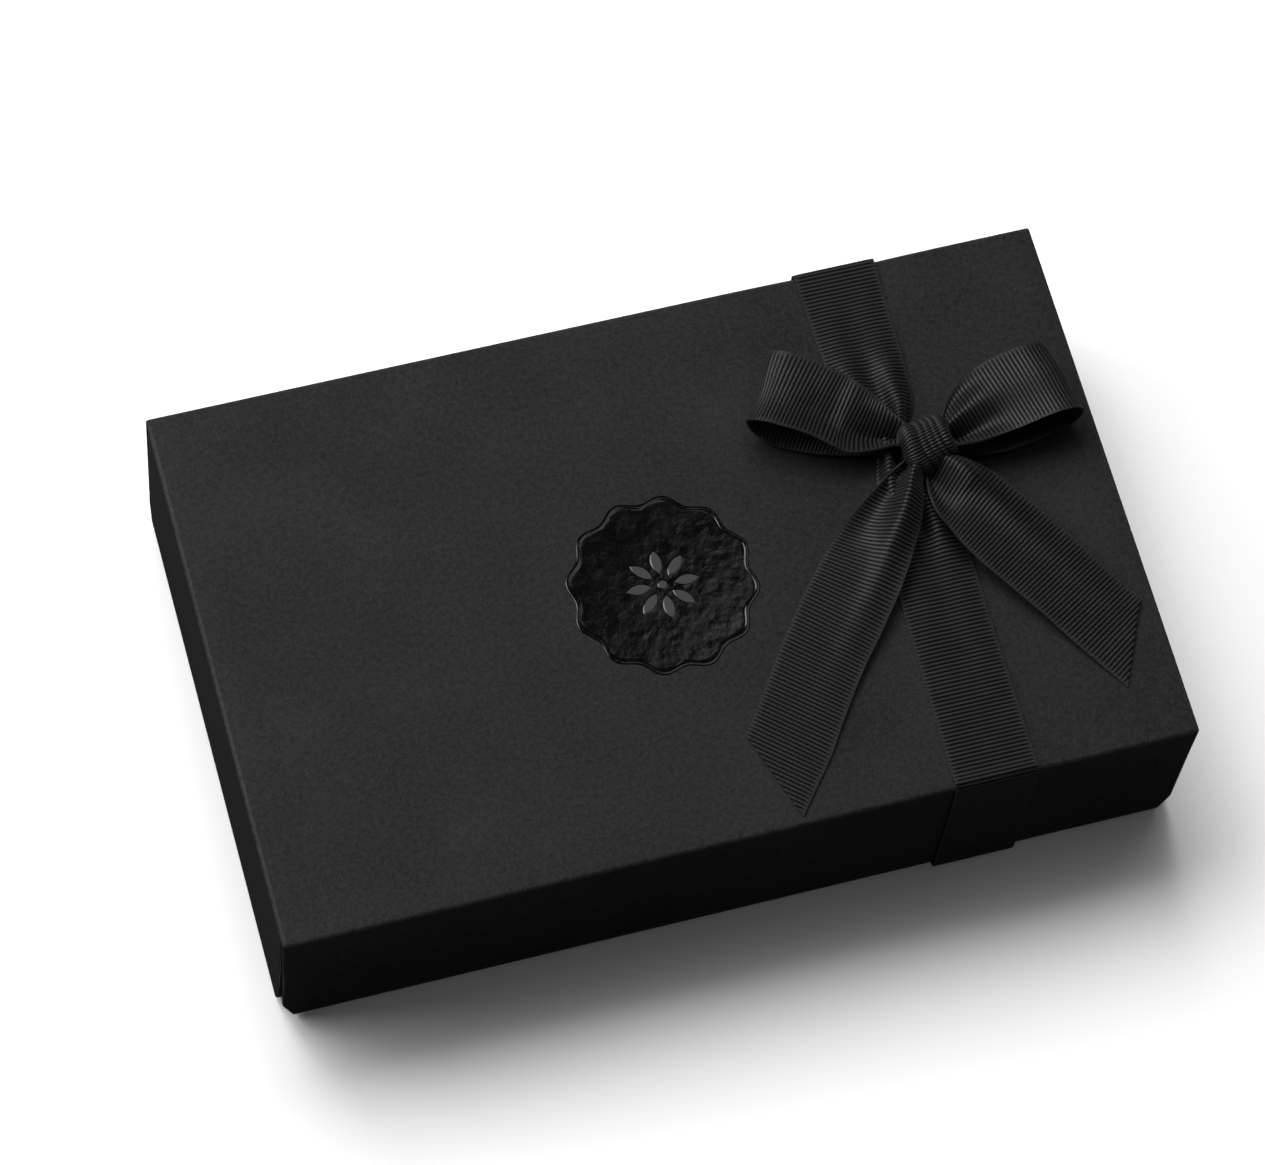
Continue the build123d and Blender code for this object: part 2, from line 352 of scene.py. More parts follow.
def wall_section(half, row, outer, power):
    """Plan of a wall's covering, along and inward from its outer face."""
    bend = np.array([(t, 1.0) for t in steps[::-1]] + [(1.0, t) for t in steps[1:]] + [(1.0, 0.0)])
    corner = outer * bend / (bend**power).sum(axis=1, keepdims=True) ** (1 / power)
    inner = [(foot_round * cos(a), foot_round * sin(a)) for a in quarter_turn]
    right = [(half - outer + u, outer - v) for u, v in corner]
    right += [(half - foot_round + u, lid_wall - foot_round + v) for u, v in inner]
    face = [(a, 0.0) for a in row]
    back = [(a, lid_wall) for a in row[::-1]]
    left = [(-a, b) for a, b in right[::-1]]
    return np.array(face + right + back + left), len(row), len(right)


# Rings down the walls: height, and how far the foot's round has drawn them in.
clip_top = lid_foot + clip_height
straight_levels = (shoulder, 60.2, 57, 52, turn_in_edge, 40, 33, 26, 19, clip_top, 7.5, 5)
wall_levels = [(z, 0.0) for z in straight_levels]
wall_levels += [
    (lid_foot + foot_round * (1 - sin(a)), foot_round * (1 - cos(a))) for a in quarter_turn
]
inner_side = 1.75
for turn in range(4):
    if turn % 2 == 0:
        depth, half, row, outer, power = half_width, half_length, long_flat, top_round, top_power
    else:
        depth, half, row, outer, power = half_length, side_flat + foot_round, side_row, foot_round, 2
    section, flat_count, end_count = wall_section(half, row, outer, power)
    rings = []
    for z, inset in wall_levels:
        shorter = clip_width * max(0.0, clip_top - z) / clip_height + inset
        along = section[:, 0] * (half - shorter) / half
        inward = lid_wall / 2 + (section[:, 1] - lid_wall / 2) * (1 - 2 * inset / lid_wall)
        rings.append(np.stack([along, inward - depth - lean(z), np.full(len(along), z)], -1))
    rings = np.array(rings) @ np.array(Matrix.Rotation(turn * pi / 2, 3, "Z")).T
    points, faces = patch(rings, closed=True)
    columns = len(section)
    # Above the turned-in edge the inner side of the wall is bare board.
    bare = {k for k in range(columns) if section[k, 1] > inner_side}
    bare_rows = sum(1 for z, _ in wall_levels if z > turn_in_edge)
    faces = [
        face for face in faces
        if face[0] // columns >= bare_rows or not {face[0] % columns, face[1] % columns} <= bare
    ]
    base = (len(wall_levels) - 1) * columns
    back_end = 2 * flat_count + end_count - 1
    for k in range(flat_count - 1):
        faces.append((base + k, base + k + 1, base + back_end - k - 1, base + back_end - k))
    faces.append(tuple(base + k for k in range(flat_count - 1, flat_count + end_count + 1)))
    faces.append((base, *(base + k for k in range(back_end, columns))))
    lid_patches.append((points, faces))

lid_mesh = mesh_of("lid_covering", lid_patches, (0, 0, lid_top), (0, 0, 1))
points = read_points(lid_mesh)
x, y, z = points.T.copy()
# Board is never quite flat: shallow waves in the top and the walls, and the far
# edge is drawn in a little where the ribbon is pulled over it.
top_wave, wall_wave, ribbon_pull = 0.08, 0.14, 0.35
flat_rim, pulled_at, wall_zone = 12, 76.5, 4
inside = np.clip((half_length - abs(x)) / flat_rim, 0, 1)
inside *= np.clip((half_width - abs(y)) / flat_rim, 0, 1)
sag = top_wave * inside * (np.sin(x / 33 + 0.9) * np.cos(y / 24) - 1)
points[:, 2] += np.where(z > lid_top - 0.2, sag, 0)
belly = wall_wave * np.sin(np.clip((shoulder - z) / (shoulder - lid_foot), 0, 1) * pi)
long_belly, end_belly = belly * np.sin(x / 39 + 1.1), belly * np.sin(y / 31 + 0.4)
points[:, 1] += np.where(abs(y) > half_width - wall_zone, np.sign(y) * long_belly, 0)
points[:, 0] += np.where(abs(x) > half_length - wall_zone, np.sign(x) * end_belly, 0)
pulled = np.exp(-(((x - pulled_at) / 20) ** 2) - ((lid_top - z) / 25) ** 2)
points[:, 1] -= np.where(y > half_width - 6, ribbon_pull * pulled, 0)
write_points(lid_mesh, points)
# Where the creases are, at the rounded top edges and the foot. The paper is painted lighter there,
# partly as edge wear and partly as a painted highlight.
edge_share = np.maximum(abs(x) - half_length, abs(y) - half_width) / top_round + 1
top_edge = np.clip(edge_share, 0, 1) * np.clip(z - lid_top + 2.2, 0, 1) * (z > shoulder)
foot_edge = np.clip((lid_foot + 1.0 - z) / 0.8, 0, 1)
number_on(lid_mesh, "crease", np.maximum(top_edge, foot_edge))
lid_cover = show("lid_covering", lid_mesh, black_paper, "lid", "black_paper", "lid_wrap")
thicken(lid_cover, paper)

# --------------------------------------------------------------- covering of the tray
# The same black paper round the tray: pasted under the bottom, up the walls, over
# the rim and a little way down inside, where the lining covers its end.
tray_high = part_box("tray_wrap")[1]
tray_x, tray_y, tray_top = tray_high.x / mm, tray_high.y / mm, tray_high.z / mm
tray_wall, rim_round, tray_round, bottom_round = 2.6, 0.9, 0.8, 0.8
turned_under, turned_in = 15.0, 18.0
side_steps = 12


def ring(inset, z, radius):
    """Rounded rectangle at an inset from the tray's outer faces."""
    loop = []
    across, deep = tray_x - inset - radius, tray_y - inset - radius
    for quarter, (sx, sy) in enumerate(((1, -1), (1, 1), (-1, 1), (-1, -1))):
        for a in np.radians(quarter * 90 - 90 + np.array([0, 22.5, 45, 67.5, 90])):
            loop.append((sx * across + radius * cos(a), sy * deep + radius * sin(a), z))
        nx, ny = ((1, 1), (-1, 1), (-1, -1), (1, -1))[quarter]
        a = radians(quarter * 90)
        start = np.array(loop[-1])
        goal = np.array((nx * across + radius * cos(a), ny * deep + radius * sin(a), z))
        loop += [tuple(start + (goal - start) * k / side_steps) for k in range(1, side_steps)]
    return loop


# Rings of the covering: how far in, how high, and the radius of its corners.
profile = [(turned_under, paper, 0.3), (6.0, paper, 0.3), (bottom_round, paper, 0.4)]
profile += [
    (bottom_round * (1 - sin(a)), paper + bottom_round * (1 - cos(a)), tray_round)
    for a in quarter_turn[1:]
]
profile += [(0.0, z, tray_round) for z in (12.0, 24.0, 36.0, 48.0)]
profile += [
    (rim_round * (1 - cos(a)), tray_top - rim_round * (1 - sin(a)), tray_round)
    for a in quarter_turn
]
profile += [
    (tray_wall - rim_round * (1 - sin(a)), tray_top - rim_round * (1 - cos(a)), 0.4)
    for a in quarter_turn
]
profile += [(tray_wall, tray_top - turned_in, 0.4)]
rings = np.array([ring(inset, z, radius) for inset, z, radius in profile])
tray_mesh = mesh_of("tray_covering", [patch(rings, closed=True)], (tray_x, 0, 30), (1, 0, 0))
points = read_points(tray_mesh)
# The rim's crease, where the paper is painted lighter: edge wear and painted highlight.
number_on(tray_mesh, "crease", np.clip((points[:, 2] - tray_top + 0.9) / 0.6, 0, 1))
tray_cover = show("tray_covering", tray_mesh, black_paper, "tray", "black_paper", "tray_wrap")
thicken(tray_cover, paper)

# ------------------------------------------------------------------------ base sheet
# A plain sheet of the same paper, pasted under the tray over the turned edges.
coat_node("tray_base_sheet", black_paper)

# ------------------------------------------------------------------------------ seal
# A scalloped sticker of black foil stuck on the lid, die-cut. Its edge is pressed
# into a rounded lip, and a plain rosette stands up in its middle, satin on top.
foil, foil_shader, foil_tree = finish("black foil", 0.14, Specular_IOR_Level=0.6)
raised = place(foil_tree, "ShaderNodeAttribute", attribute_name="raised").outputs["Fac"]
spot = place(foil_tree, "ShaderNodeTexCoord").outputs["Object"]
streaks = spread(foil_tree, noise(foil_tree, spot, 210.0, 4.0, 0.6), 0.35, 0.7, 0.07, 0.2)
satin = spread(foil_tree, raised, 0.6, 1.0, 0.0, 1.0)
feed(foil_tree, foil_shader.inputs["Roughness"], spread(foil_tree, satin, 0.0, 1.0, streaks, 0.42))
foil_colour = blend_colours(foil_tree, satin, (0.0012, 0.0012, 0.0013, 1), (0.022, 0.022, 0.0235, 1))
feed(foil_tree, foil_shader.inputs["Base Color"], foil_colour)
relief(foil_tree, foil_shader, noise(foil_tree, spot, 480.0, 5.0, 0.6), 0.045 * mm)

seal_low, seal_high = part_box("seal")
seal_centre = ((seal_low + seal_high) / 2).to_2d() / mm
lobes, lobe_depth = 12, 2.2
seal_radius = (seal_high.y - seal_low.y) / 2 / mm / cos(pi / lobes)
field_height, lip_height = 0.15, 0.3
lip_slope, lip_width, lip_round, rosette_reach = 0.7, 0.9, 0.35, 12.0
spokes = 480
angle = np.linspace(0, 2 * pi, spokes, endpoint=False)
outline = seal_radius - lobe_depth * (1 + np.cos(lobes * angle)) / 2
# Rings from the middle outward: how far out, and how high. They go over the
# rosette's disc, the field, the slope up to the lip, and the lip's round.
disc_rings = [0.02, *np.arange(0.3, rosette_reach, 0.15)]
field_rings, slope_rings = 22, 6
field_edge = outline - lip_width - lip_slope
rings = [(np.full(spokes, reach), field_height) for reach in disc_rings]
for k in range(1, field_rings + 1):
    rings.append((rosette_reach + (field_edge - rosette_reach) * k / field_rings, field_height))
for k in range(1, slope_rings + 1):
    climbed = (1 - cos(pi * k / slope_rings)) / 2
    level = field_height + (lip_height - field_height) * climbed
    rings.append((field_edge + lip_slope * k / slope_rings, level))
for a in np.radians([0, 20, 40, 60, 75, 90]):
    rings.append((outline - lip_round * (1 - sin(a)), lip_height * cos(a)))
rings = np.array(
    [np.stack([r * np.cos(angle), r * np.sin(angle), np.full(spokes, h)], -1) for r, h in rings]
)
seal_patch = patch(rings, closed=True)
last = (len(rings) - 1) * spokes
seal_patch[1].append(tuple(range(spokes)))
seal_patch[1].append(tuple(last + k for k in range(spokes)))
seal_mesh = mesh_of("seal_base", [seal_patch], (0, 0, field_height), (0, 0, 1))


def geometry_tree(name, inputs):
    """Geometry Nodes tree with named inputs, and its first and last nodes."""
    tree = bpy.data.node_groups.new(name, "GeometryNodeTree")
    tree.interface.new_socket("Geometry", in_out="INPUT", socket_type="NodeSocketGeometry")
    for label, (kind, value) in inputs.items():
        socket = tree.interface.new_socket(label, in_out="INPUT", socket_type="NodeSocket" + kind)
        if value is not None:
            socket.default_value = value
    tree.interface.new_socket("Geometry", in_out="OUTPUT", socket_type="NodeSocketGeometry")
    return tree, place(tree, "NodeGroupInput"), place(tree, "NodeGroupOutput")


def end_tree(tree, given, made, mark, value, offset):
    """Mark every point with a value, move it, and end with plain geometry in its material."""
    marked = place(tree, "GeometryNodeStoreNamedAttribute", data_type="FLOAT", domain="POINT")
    moved = place(tree, "GeometryNodeSetPosition")
    real = place(tree, "GeometryNodeRealizeInstances")
    painted = place(tree, "GeometryNodeSetMaterial")
    marked.inputs["Name"].default_value = mark
    feed(tree, marked.inputs["Geometry"], given.outputs["Geometry"])
    feed(tree, marked.inputs["Value"], value)
    feed(tree, moved.inputs["Geometry"], marked.outputs["Geometry"])
    feed(tree, moved.inputs["Offset"], offset)
    feed(tree, real.inputs["Geometry"], moved.outputs["Geometry"])
    feed(tree, painted.inputs["Geometry"], real.outputs["Geometry"])
    feed(tree, painted.inputs["Material"], given.outputs["Material"])
    feed(tree, made.inputs["Geometry"], painted.outputs["Geometry"])


def grown(mesh, tree, values, thickness=0.0):
    """Plain mesh that a tree makes from another, given a thickness first if asked."""
    holder = bpy.data.objects.new(mesh.name, mesh)
    bpy.context.scene.collection.objects.link(holder)
    if thickness:
        thicken(holder, thickness, even=False)
    modifier = holder.modifiers.new(tree.name, "NODES")
    modifier.node_group = tree
    for item in tree.interface.items_tree:
        if item.in_out == "INPUT" and item.name in values:
            modifier[item.identifier] = values[item.name]
    graph = bpy.context.evaluated_depsgraph_get()
    built = holder.evaluated_get(graph)
    plain = bpy.data.meshes.new_from_object(built, preserve_all_data_layers=True, depsgraph=graph)
    bpy.data.objects.remove(holder)
    return plain


rosette_tree, given, made = geometry_tree(
    "raised rosette",
    {
        "Petals": ("Int", 8),
        "Petal Length": ("Float", 8.2 * mm),
        "Petal Width": ("Float", 3.6 * mm),
        "Ring Radius": ("Float", 7.4 * mm),
        "Hub Radius": ("Float", 1.6 * mm),
        "Relief": ("Float", 0.15 * mm),
        "Slope": ("Float", 0.4 * mm),
        "Wrinkle": ("Float", 0.12 * mm),
        "Material": ("Material", None),
    },
)
where = place(rosette_tree, "GeometryNodeInputPosition").outputs["Position"]
parts = place(rosette_tree, "ShaderNodeSeparateXYZ")
feed(rosette_tree, parts.inputs[0], where)


def rosette_sum(operation, *values):
    """Math node in the rosette's tree."""
    return sum_of(rosette_tree, operation, *values)


def squared(value):
    """Value times itself, in the rosette's tree."""
    return rosette_sum("MULTIPLY", value, value)


from_middle = rosette_sum(
    "SQRT", rosette_sum("ADD", squared(parts.outputs["X"]), squared(parts.outputs["Y"]))
)
turned = rosette_sum("ARCTAN2", parts.outputs["Y"], parts.outputs["X"])
sector = rosette_sum("DIVIDE", pi, given.outputs["Petals"])
folded_angle = rosette_sum("PINGPONG", turned, sector)
beside = rosette_sum("MULTIPLY", from_middle, rosette_sum("SINE", folded_angle))
straight_out = rosette_sum("MULTIPLY", from_middle, rosette_sum("COSINE", folded_angle))
ahead = rosette_sum("SUBTRACT", straight_out, given.outputs["Ring Radius"])
# A petal is where two equal circles overlap; their centres lie this far to its sides.
length_squared = squared(given.outputs["Petal Length"])
width_squared = squared(given.outputs["Petal Width"])
offset = rosette_sum(
    "DIVIDE",
    rosette_sum("SUBTRACT", length_squared, width_squared),
    rosette_sum("MULTIPLY", given.outputs["Petal Width"], 4.0),
)
side_radius = rosette_sum("MULTIPLY_ADD", given.outputs["Petal Width"], 0.5, offset)
from_side_centre = rosette_sum(
    "SQRT", rosette_sum("ADD", squared(rosette_sum("ADD", beside, offset)), squared(ahead))
)
from_petal = rosette_sum("SUBTRACT", from_side_centre, side_radius)
from_hub = rosette_sum("SUBTRACT", from_middle, given.outputs["Hub Radius"])
outside = rosette_sum("MINIMUM", from_petal, from_hub)
inner_edge = rosette_sum("MULTIPLY", given.outputs["Slope"], -1.0)
stands = spread(rosette_tree, outside, inner_edge, 0.0, 1.0, 0.0, "SMOOTHSTEP")
# The field is a little crumpled. The lip above it and the underside stay smooth.
below_lip = rosette_sum("LESS_THAN", parts.outputs["Z"], (field_height + 0.01) * mm)
crumple = rosette_sum("SUBTRACT", noise(rosette_tree, where, 230.0, 2.0, 0.55), 0.5)
wrinkles = rosette_sum("MULTIPLY", crumple, below_lip)
wrinkled = rosette_sum("MULTIPLY", wrinkles, given.outputs["Wrinkle"])
lift = rosette_sum("MULTIPLY_ADD", stands, given.outputs["Relief"], wrinkled)
upper = rosette_sum("GREATER_THAN", parts.outputs["Z"], (field_height - 0.05) * mm)
shift = place(rosette_tree, "ShaderNodeCombineXYZ")
feed(rosette_tree, shift.inputs["Z"], rosette_sum("MULTIPLY", lift, upper))
standing = rosette_sum("MULTIPLY", stands, upper)
end_tree(rosette_tree, given, made, "raised", standing, shift.outputs["Vector"])
seal_mesh = grown(seal_mesh, rosette_tree, {"Material": foil})
seal_mesh.transform(Matrix.Translation((seal_centre.x * mm, seal_centre.y * mm, lid_top * mm)))
show("foil_seal", seal_mesh, foil, "lid", "black_foil", "seal", soft_angle=60)

# ---------------------------------------------------------------- ribbon over the lid
# Black grosgrain, 25.4 mm wide, woven with a rib across it. It lies over the lid
# and down both long walls, its ends turned under the foot and glued inside.
ribbon_width, ribbon_thickness = 25.4, 0.3
rib_pitch, rib_height, selvage = 1.27, 0.25, 1.1
rows_per_rib = 6
row_pitch = rib_pitch / rows_per_rib
grosgrain, ribbon_shader, ribbon_tree = finish(
    "black grosgrain", 0.45, Sheen_Weight=0.04, Sheen_Roughness=0.4, Specular_IOR_Level=0.4
)
cloth = place(ribbon_tree, "ShaderNodeUVMap", uv_map="cloth").outputs["UV"]
lengthwise = place(ribbon_tree, "ShaderNodeMapping")
feed(ribbon_tree, lengthwise.inputs["Vector"], cloth)
lengthwise.inputs["Scale"].default_value = (4200.0, 500.0, 1.0)
yarn = place(ribbon_tree, "ShaderNodeTexNoise")
feed(ribbon_tree, yarn.inputs["Vector"], lengthwise.outputs["Vector"])
yarn.inputs["Scale"].default_value = 1.0
yarn.inputs["Detail"].default_value = 2.0
uneven = noise(ribbon_tree, cloth, 120.0, 3.0)
groove = place(ribbon_tree, "ShaderNodeAttribute", attribute_name="groove").outputs["Fac"]
patchy = sum_of(ribbon_tree, "MULTIPLY", uneven, 0.4)
thread = sum_of(ribbon_tree, "MULTIPLY_ADD", yarn.outputs["Fac"], 0.6, patchy)
thread_mask = spread(ribbon_tree, thread, 0.3, 0.7, 0, 1)
thread_dark, thread_light = (0.0078, 0.0078, 0.0085, 1), (0.0165, 0.0165, 0.018, 1)
thread_colour = blend_colours(ribbon_tree, thread_mask, thread_dark, thread_light)
# Painted shade: the colour darkens toward the bottom of the grooves between the ribs.
groove_shade_mask = spread(ribbon_tree, groove, 0.1, 0.65, 0.0, 0.95)
cloth_and_groove_shade_colour = blend_colours(ribbon_tree, groove_shade_mask, thread_colour, (0.0012, 0.0012, 0.0013, 1))
feed(ribbon_tree, ribbon_shader.inputs["Base Color"], cloth_and_groove_shade_colour)
# Painted shade between the ribs: no gleam comes back there, as from a metal as dark as the groove.
feed(ribbon_tree, ribbon_shader.inputs["Metallic"], spread(ribbon_tree, groove, 0.25, 0.9, 0.0, 0.75))
relief(ribbon_tree, ribbon_shader, yarn.outputs["Fac"], 0.05 * mm)

rib_tree, given, made = geometry_tree(
    "grosgrain ribs",
    {
        "Rib Pitch": ("Float", rib_pitch * mm),
        "Rib Height": ("Float", rib_height * mm),
        "Selvage": ("Float", selvage * mm),
        "Ribbon Width": ("Float", ribbon_width * mm),
        "Material": ("Material", None),
    },
)
along = place(rib_tree, "GeometryNodeInputNamedAttribute", data_type="FLOAT")
along.inputs["Name"].default_value = "along"
across = place(rib_tree, "GeometryNodeInputNamedAttribute", data_type="FLOAT")
across.inputs["Name"].default_value = "across"
turns = sum_of(rib_tree, "DIVIDE", along.outputs["Attribute"], given.outputs["Rib Pitch"])
wave = sum_of(rib_tree, "ABSOLUTE", sum_of(rib_tree, "SINE", sum_of(rib_tree, "MULTIPLY", turns, pi)))
from_edge = sum_of(
    rib_tree,
    "SUBTRACT",
    sum_of(rib_tree, "MULTIPLY", given.outputs["Ribbon Width"], 0.5),
    sum_of(rib_tree, "ABSOLUTE", across.outputs["Attribute"]),
)
edge_starts = sum_of(rib_tree, "MULTIPLY", given.outputs["Selvage"], 0.5)
in_edge = spread(rib_tree, from_edge, edge_starts, given.outputs["Selvage"], 1.0, 0.0)
# The ribs end at the selvage, which is level at four fifths of their height.
to_level = sum_of(rib_tree, "SUBTRACT", 0.8, wave)
height = sum_of(rib_tree, "MULTIPLY_ADD", to_level, in_edge, wave)
normal = place(rib_tree, "GeometryNodeInputNormal").outputs["Normal"]
push = place(rib_tree, "ShaderNodeVectorMath", operation="SCALE")
feed(rib_tree, push.inputs[0], normal)
feed(rib_tree, push.inputs["Scale"], sum_of(rib_tree, "MULTIPLY", height, given.outputs["Rib Height"]))
# Depth below the rib tops, stored as groove. The cloth's colour uses it for painted shade in the
# grooves.
depth_below = sum_of(rib_tree, "SUBTRACT", 1.0, height)
end_tree(rib_tree, given, made, "groove", depth_below, push.outputs["Vector"])


def woven(mesh, across, along):
    """Ribbon of full thickness, with its ribs, from a mesh that knows its cloth measures."""
    number_on(mesh, "along", along * mm)
    number_on(mesh, "across", across * mm)
    layer = mesh.uv_layers.new(name="cloth")
    order = np.zeros(len(mesh.loops), int)
    mesh.loops.foreach_get("vertex_index", order)
    layer.data.foreach_set("uv", (np.stack([across, along], -1)[order] * mm).ravel())
    return grown(mesh, rib_tree, {"Material": grosgrain}, ribbon_thickness)


def smooth_line(knots, values, at):
    """Smooth curve through values at rising knots, read at other places."""
    values = np.asarray(values, float)
    knots = np.asarray(knots, float)
    slopes = np.gradient(values, knots, axis=0)
    k = np.clip(np.searchsorted(knots, at, side="right") - 1, 0, len(knots) - 2)
    gap = knots[k + 1] - knots[k]
    t = ((at - knots[k]) / gap)[:, None]
    a, b, m, n = values[k], values[k + 1], slopes[k] * gap[:, None], slopes[k + 1] * gap[:, None]
    leaving = a * (2 * t**3 - 3 * t**2 + 1) + m * (t**3 - 2 * t**2 + t)
    return leaving + b * (3 * t**2 - 2 * t**3) + n * (t**3 - t**2)


deepest_pleat = 3.2


def ribbon_piece(
    name, left, right, pleats, phase, settle, cut=0.0, columns=24, turn_over=False, ridges=(), lifted=0
):
    """Ribbon that runs between two edge lines, pleated where they come close.

    The cloth keeps its width: what the edges don't span goes into pleats. They
    soften over a length to a share of their depth, both given by settle. A ridge
    is (place across, height, width across, length it runs for). The cut is how
    much longer the right edge is than the left one. Returns the mesh, and its
    length along the middle.
    """
    left, right = np.array(left, float), np.array(right, float)
    middle = (left + right) / 2
    knots = np.concatenate([[0], np.cumsum(np.linalg.norm(np.diff(middle, axis=0), axis=1))])
    dense = np.linspace(0, knots[-1], 2000)
    line = smooth_line(knots, middle, dense)
    run = np.concatenate([[0], np.cumsum(np.linalg.norm(np.diff(line, axis=0), axis=1))])
    length = run[-1] + abs(cut) / 2
    rows = int(np.ceil(length / row_pitch)) + 1
    side_steps = np.linspace(-0.5, 0.5, columns + 1) * ribbon_width
    points, faces = patch(grid(side_steps, np.arange(rows) * row_pitch, 0.0))
    sheet = bmesh.new()
    corners = [sheet.verts.new(p) for p in points]
    for face in faces:
        sheet.faces.new([corners[k] for k in (face if turn_over else face[::-1])])
    slant = Vector((cut, ribbon_width, 0)).normalized()
    everything = [*sheet.verts, *sheet.edges, *sheet.faces]
    bmesh.ops.bisect_plane(
        sheet, geom=everything, dist=1e-5, plane_co=(0, run[-1], 0),
        plane_no=(-slant.x, slant.y, 0) if cut else (0, 1, 0), clear_outer=True,
    )
    mesh = bpy.data.meshes.new(name + "_flat")
    sheet.to_mesh(mesh)
    sheet.free()
    flat = read_points(mesh) * mm
    side, far = flat[:, 0], flat[:, 1]
    beyond = np.maximum(far - run[-1], 0)
    t = np.interp(np.minimum(far, run[-1]), run, dense)
    share = side / ribbon_width + 0.5
    on_left, on_right = smooth_line(knots, left, t), smooth_line(knots, right, t)
    ahead = smooth_line(knots, middle, np.minimum(t + 0.05, knots[-1]))
    behind = smooth_line(knots, middle, np.maximum(t - 0.05, 0))
    tangent = ahead - behind
    tangent /= np.linalg.norm(tangent, axis=1)[:, None]
    chord = on_right - on_left
    wide = np.linalg.norm(chord, axis=1)
    up = np.cross(chord, tangent)
    up *= (-1 if turn_over else 1) / np.linalg.norm(up, axis=1)[:, None]
    spare = np.maximum((ribbon_width / wide) ** 2 - 1, 0)
    deep = wide / (pi * 2 * pleats) * np.sqrt(2 * spare) * np.clip(spare / 0.25, 0, 1)
    deep = np.minimum(deep, deepest_pleat)
    soft = settle[1] + (1 - settle[1]) * np.exp(-((far / settle[0]) ** 2))
    fold = deep * soft * (lifted + np.cos(2 * pi * pleats * share + phase))
    for where_across, ridge_height, ridge_width, ridge_length in ridges:
        fades = np.exp(-((far / ridge_length) ** 2)) * (1 - np.exp(-((far / 6) ** 2)))
        fold += ridge_height * fades * np.exp(-(((share - where_across) / ridge_width) ** 2))
    points = on_left + chord * share[:, None] + up * fold[:, None] + tangent * beyond[:, None]
    write_points(mesh, points)
    return woven(mesh, side, far), run[-1]


band_low, band_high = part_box("ribbon_band")
strap_x = (band_low.x + band_high.x) / 2 / mm
strap_top = lid_top + 0.5
strap_half = ribbon_width / 2
wall_out = half_width + 0.75
# Places along the ribbon: depth, level, and how far its left and right edges are
# shifted to the right. It is drawn together under the knot.
strap = [
    (-84.7, 13.5, 0, 0),
    (-84.6, 7.0, 0, 0),
    (-84.6, 2.0, 0, 0),
    (-86.2, 0.75, 0, 0),
    (-88.3, 1.3, 0, 0),
    (-88.75, 4.0, 0, 0),
    (-88.4, 12.0, 0, 0),
    (-88.0, 28.0, 0, 0),
    (-87.6, 46.0, 0, 0),
    (-wall_out, 58.5, 0, 0),
    (-wall_out + 0.15, 62.0, 0, 0),
    (-wall_out + 1.2, strap_top, 0, 0),
    (-82.0, strap_top + 0.02, 0, 0),
    (-60.0, strap_top, 0.3, 0.1),
    (-35.0, strap_top, 0.8, 0.1),
    (-15.0, strap_top + 0.1, 1.4, 0.2),
    (-2.0, strap_top + 0.2, 2.4, -1.5),
    (8.0, strap_top + 0.3, 4.2, -5.0),
    (16.0, strap_top + 0.4, 5.8, -6.0),
    (22.0, strap_top + 0.4, 7.5, -6.5),
    (28.4, strap_top + 0.4, 7.2, -6.0),
    (36.8, strap_top + 0.3, 4.4, -2.2),
    (45.7, strap_top + 0.2, 2.0, -1.2),
    (54.0, strap_top + 0.2, 1.0, -0.7),
    (62.0, strap_top, 0.6, -0.5),
    (76.0, strap_top + 0.02, 0.3, -0.3),
    (83.5, strap_top + 0.35, 0, 0),
    (wall_out - 0.9, strap_top + 0.2, 0, 0),
    (wall_out + 0.1, 62.0, 0, 0),
    (wall_out + 0.3, 58.5, 0, 0),
    (87.7, 46.0, 0, 0),
    (88.0, 28.0, 0, 0),
    (88.4, 12.0, 0, 0),
    (88.75, 4.0, 0, 0),
    (88.3, 1.3, 0, 0),
    (86.2, 0.75, 0, 0),
    (84.6, 2.0, 0, 0),
    (84.6, 7.0, 0, 0),
    (84.7, 13.5, 0, 0),
]
strap_left = [(strap_x - strap_half + shift, y, z) for y, z, shift, _ in strap]
strap_right = [(strap_x + strap_half + shift, y, z) for y, z, _, shift in strap]
band_mesh, band_length = ribbon_piece(
    "ribbon_over_lid", strap_left, strap_right, 2, pi, (1e6, 0.45), columns=20, lifted=1
)
band = show("ribbon_over_lid", band_mesh, grosgrain, "lid", "ribbon", "ribbon_band", soft_angle=70)

